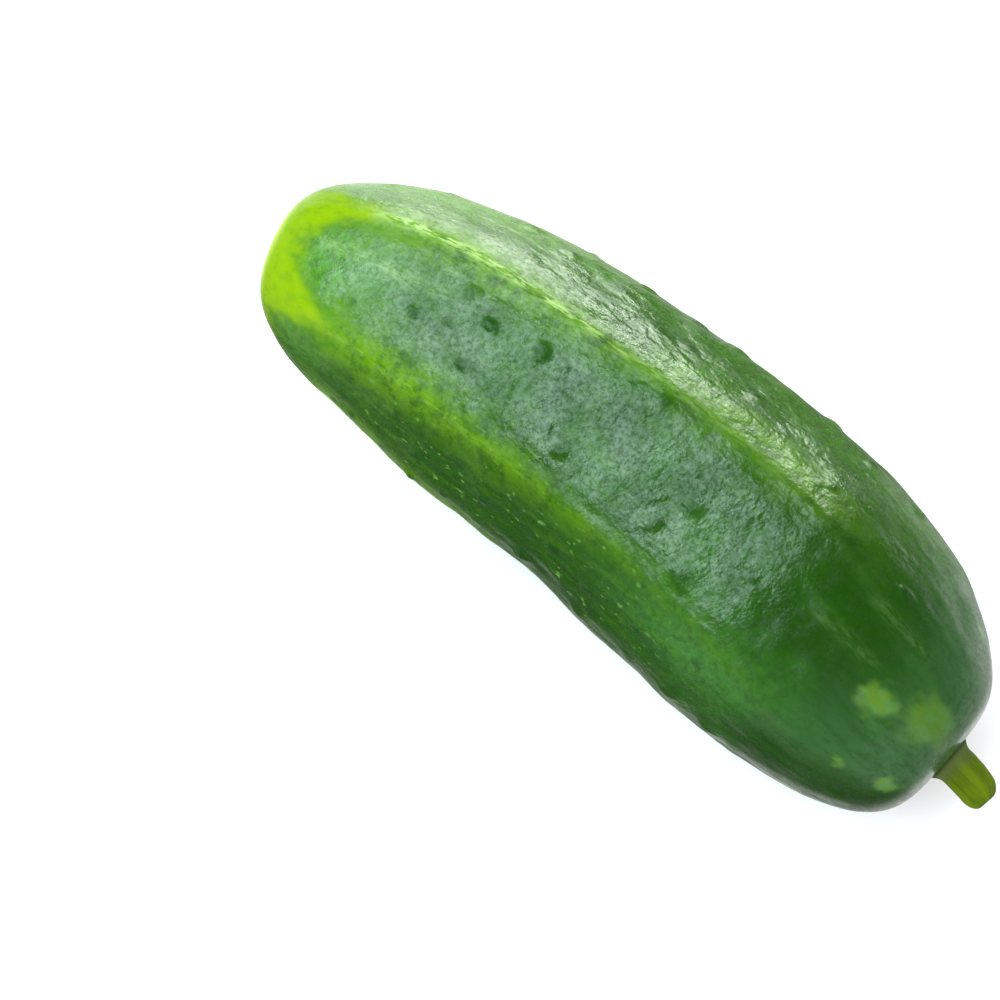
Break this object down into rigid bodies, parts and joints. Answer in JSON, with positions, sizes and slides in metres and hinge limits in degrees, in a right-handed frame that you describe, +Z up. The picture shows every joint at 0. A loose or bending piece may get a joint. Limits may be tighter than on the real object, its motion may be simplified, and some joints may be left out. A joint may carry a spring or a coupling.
{
  "type": "cucumber",
  "caption": "Short ridged cucumber with low warts, a cut stub of stem and a corky blossom scar, lying on its flat-pressed belly.",
  "frame": {"origin": "bottom centre of the whole cucumber's box, on the surface it lies on", "axes": "+X along the length towards the stem, +Y towards the bowed back, +Z up"},
  "size_m": [0.1268, 0.0444, 0.0409],
  "materials": {
    "skin": "waxy cucumber skin, satin to glossy with a fine leathery grain, dark green with paler ribs and a lime blossom end",
    "stem": "matt olive-green stalk, greyer where it meets the fruit",
    "cork": "dry, matt, mottled tan cork"
  },
  "bodies": {
    "root": {"fruit": "skin", "stem": "stem", "blossom_scar": "cork"}
  },
  "joints": []
}
